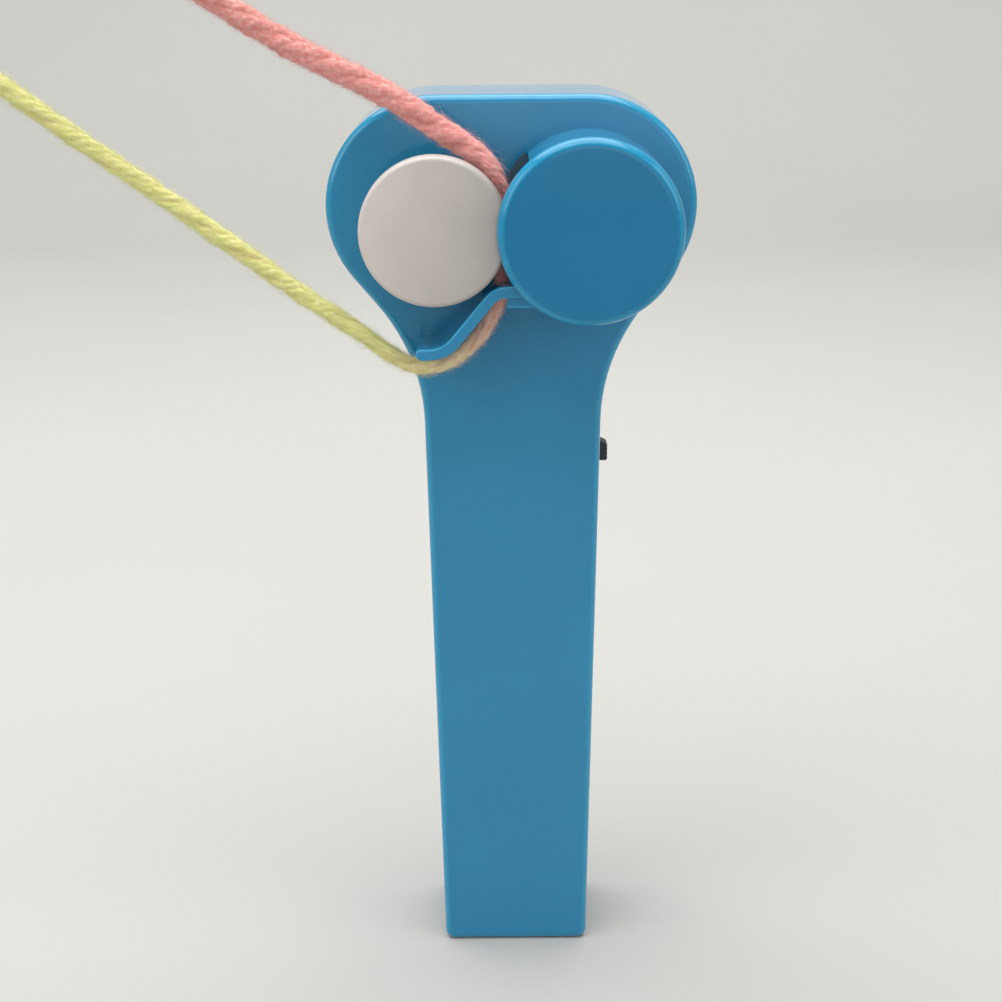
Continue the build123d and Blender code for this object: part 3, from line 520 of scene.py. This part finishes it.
# ------------------------------------------------------------------ loose fibres
FIBRES = 15000
FIBRE_LENGTH = 3.0 * MM
FIBRE_R = 0.027 * MM
FIBRE_TAPER = 0.25  # lost at each ring
FIBRE_RINGS = 3  # each of three vertices, and one more vertex at the tip
FIBRE_ROOT = 0.96  # where a fibre starts, as a share of the way out to the yarn's surface
FIBRE_LIFT = 0.14, 0.36  # the least that a fibre stands off, and how much more the wildest does
FIBRE_CURL = 0.35


def fibre_path(p, c, rng):
    """Places along one fibre from the yarn's surface to its tip, and the two directions across it."""
    spoke = rings[p, c] - line[p]
    root = line[p] + spoke * FIBRE_ROOT
    out = spoke / np.linalg.norm(spoke)
    forward = tangent[p] * rng.choice((-1.0, 1.0))
    sideways = np.cross(out, forward)
    reach = FIBRE_LENGTH * (0.35 + 0.65 * rng.random())
    lift = FIBRE_LIFT[0] + FIBRE_LIFT[1] * rng.random() ** 1.5
    curl = rng.normal(0, FIBRE_CURL)
    points = []
    for k in range(FIBRE_RINGS + 1):
        t = k / FIBRE_RINGS
        bend = out * lift * math.sin(t * (1.2 + rng.random() * 0.9)) + sideways * curl * t * t
        points.append(root + reach * (forward * t * 0.8 + bend))
    return points, out, sideways


def fibres(name, count, rng):
    """Loose fibre ends standing off the yarn, each a tapering three-sided hair."""
    verts, faces, where = [], [], []
    places = rng.integers(4, len(at) - 4, count)
    columns = rng.integers(0, AROUND, count)
    for p, c in zip(places, columns):
        points, out, sideways = fibre_path(p, c, rng)
        base = len(verts)
        for k, point in enumerate(points[:-1]):
            r = FIBRE_R * (1 - FIBRE_TAPER * k)
            for j in range(3):
                a = 2 * math.pi * j / 3
                verts.append(point + r * (math.cos(a) * out + math.sin(a) * sideways))
        verts.append(points[-1])
        for k in range(FIBRE_RINGS - 1):
            for j in range(3):
                a, b = base + 3 * k + j, base + 3 * k + (j + 1) % 3
                faces.append((a, b, b + 3, a + 3))
        last = base + 3 * (FIBRE_RINGS - 1)
        faces += [(last + j, last + (j + 1) % 3, last + 3) for j in range(3)]
        faces.append((base + 2, base + 1, base))
        where += [at[p] / yarn_length] * (3 * FIBRE_RINGS + 1)
    material = yarn_material("yarn_fibre", groove_shade=False)
    return add_mesh(name, [tuple(v) for v in verts], faces, {"along": where}, material)


fuzz = fibres("yarn_fuzz", FIBRES, RNG)

# ------------------------------------------------------------------ the knot
KNOT_MIDDLE = sum(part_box("string_knot"), Vector()) / 2
KNOT_LENGTH = 4.6 * MM
KNOT_TURNS = 2.6
KNOT_R = 1.95 * MM
KNOT_BULGE = 0.35 * MM
KNOT_YARN_R = 1.25 * MM
TAIL_YARN_R = 1.35 * MM
SHORT_LAY = 12 * MM
SHORT_STEP = 0.25 * MM
SHORT_AROUND = 28
BLUNT_END = 0.9 * MM
PINK = 0.375  # the place along the dye that the knot and the tails take their colour from


def wrap_path():
    """The yarn's turns round itself, widest in the middle."""
    t = np.linspace(0, 1, 150)
    turns = 2 * np.pi * KNOT_TURNS * t
    ring_r = KNOT_R + KNOT_BULGE * np.sin(np.pi * t)
    x = KNOT_MIDDLE.x + (t - 0.5) * KNOT_LENGTH
    y = KNOT_MIDDLE.y + ring_r * np.cos(turns)
    return np.stack([x, y, KNOT_MIDDLE.z + ring_r * np.sin(turns)], axis=1)


def tail_path(dx, dz):
    """A free end that leaves the knot towards (dx, dz) and sags."""
    t = np.linspace(0, 1, 12)[:, None]
    start = np.array(KNOT_MIDDLE) + np.array([dx * 0.6, -1.2, 1.0]) * MM
    reach = np.array([dx * 7.5, -2.6, dz * 8.0]) * MM
    return start + t * reach + t**2 * np.array([0.0, 0.0, -2.2]) * MM


def soft_tube(name, path, thickness, rng):
    """A short length of the same yarn along a free path."""
    path, run = evenly(path, SHORT_STEP)
    t = tangents(path)
    first = np.cross(t[0], [0.0, 0.0, 1.0])
    if np.linalg.norm(first) < 0.2:
        first = np.cross(t[0], [0.0, 1.0, 0.0])
    u = [first / np.linalg.norm(first)]
    for k in range(1, len(t)):
        carried = u[-1] - t[k] * np.dot(u[-1], t[k])
        u.append(carried / np.linalg.norm(carried))
    u = np.array(u)
    taper = np.clip(np.minimum(run, run[-1] - run) / BLUNT_END, 0.35, 1.0) ** 0.5
    a = np.linspace(0, 2 * np.pi, SHORT_AROUND, endpoint=False)
    r = plied_radius(run, thickness * taper, a, rng)
    points = ring_points(path, r, a[None, :] - (2 * np.pi * run / SHORT_LAY)[:, None], u, np.cross(t, u))
    values = {"along": np.full_like(r, PINK), "raised": groove_depth(r, thickness * taper)}
    return tube(name, points, values, YARN)


knot = soft_tube("yarn_knot", wrap_path(), KNOT_YARN_R, RNG)
tails = [
    soft_tube("yarn_tail_1", tail_path(1.0, 0.55), TAIL_YARN_R, RNG),
    soft_tube("yarn_tail_2", tail_path(-1.0, 0.75), TAIL_YARN_R, RNG),
]

for piece in (yarn, fuzz, knot, *tails):
    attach(piece, "case")
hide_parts("string_feed", "string_return")
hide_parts("string_knot")

# ------------------------------------------------------------------ floor and backdrop
FLOOR_HALF = 2.4
FLOOR_FRONT = -1.6
CURVE_START = 0.9
CURVE_R = 0.5
CURVE_ANGLES = np.linspace(0.1, math.pi / 2, 14)
BACKDROP_Y = 1.4
BACKDROP_TOP = 2.4


def sweep():
    """A pale floor that curves up into a backdrop."""
    profile = [(FLOOR_FRONT, 0.0), (FLOOR_FRONT / 2, 0.0), (0.0, 0.0), (CURVE_START, 0.0)]
    for a in CURVE_ANGLES:
        profile.append((CURVE_START + CURVE_R * math.sin(a), CURVE_R - CURVE_R * math.cos(a)))
    profile += [(BACKDROP_Y, BACKDROP_TOP / 2), (BACKDROP_Y, BACKDROP_TOP)]
    xs = np.linspace(-FLOOR_HALF, FLOOR_HALF, 9)
    w = len(xs)
    verts = [(x, y, z) for y, z in profile for x in xs]
    faces = [
        (r * w + c, r * w + c + 1, (r + 1) * w + c + 1, (r + 1) * w + c)
        for r in range(len(profile) - 1)
        for c in range(w - 1)
    ]
    n = Nodes("floor_paper")
    cloud = n.remap(n.noise(3.0, 3.0), 0.3, 0.7, 0.0, 1.0)
    paper = n.finish(
        Base_Color=n.mix(cloud, linear(179, 179, 176), linear(183, 183, 180)),
        Roughness=0.85,
        Normal=n.bump(n.noise(700.0, 3.0), 0.05, 0.1 * MM),
    )
    add_mesh("floor_sweep", verts, faces, {}, paper)


sweep()

# ------------------------------------------------------------------ light
WARM = (1.0, 0.99, 0.975)
WARMER = (1.0, 0.99, 0.97)
COOL = (0.98, 0.99, 1.0)
# name, place, what it points at, size, watts, colour
LIGHTS = [
    ("overhead", (-0.08, -0.02, 0.95), (0, 0, 0.1), (1.1, 1.0), 12.0, WARM),
    ("left_window", (-1.3, -0.7, 0.75), (0, 0, 0.12), (1.0, 1.0), 6.5, COOL),
    ("right_fill", (1.3, -0.5, 0.7), (0, 0, 0.12), (0.9, 0.9), 4.5, WARMER),
    ("front_softbox", (0.3, -1.6, 0.4), (0, 0, 0.09), (0.9, 0.9), 2.6, WARM),
    ("backdrop_wash", (0.0, 0.35, 1.3), (0, 1.4, 0.7), (1.8, 0.5), 13.0, WARMER),
]
ROOM_COLOUR = (0.80, 0.80, 0.79, 1.0)
ROOM_STRENGTH = 0.52

for name, place, target, size, power, colour in LIGHTS:
    data = bpy.data.lights.new(name, "AREA")
    data.shape = "RECTANGLE"
    data.size, data.size_y = size
    data.energy = power
    data.color = colour
    lamp = bpy.data.objects.new(name, data)
    lamp.location = place
    lamp.rotation_euler = (Vector(target) - Vector(place)).to_track_quat("-Z", "Y").to_euler()
    bpy.context.scene.collection.objects.link(lamp)

world = bpy.data.worlds.new("room")
world.use_nodes = True
background = world.node_tree.nodes["Background"].inputs
background["Color"].default_value = ROOM_COLOUR
background["Strength"].default_value = ROOM_STRENGTH
bpy.context.scene.world = world
bpy.context.scene.view_settings.view_transform = "Standard"
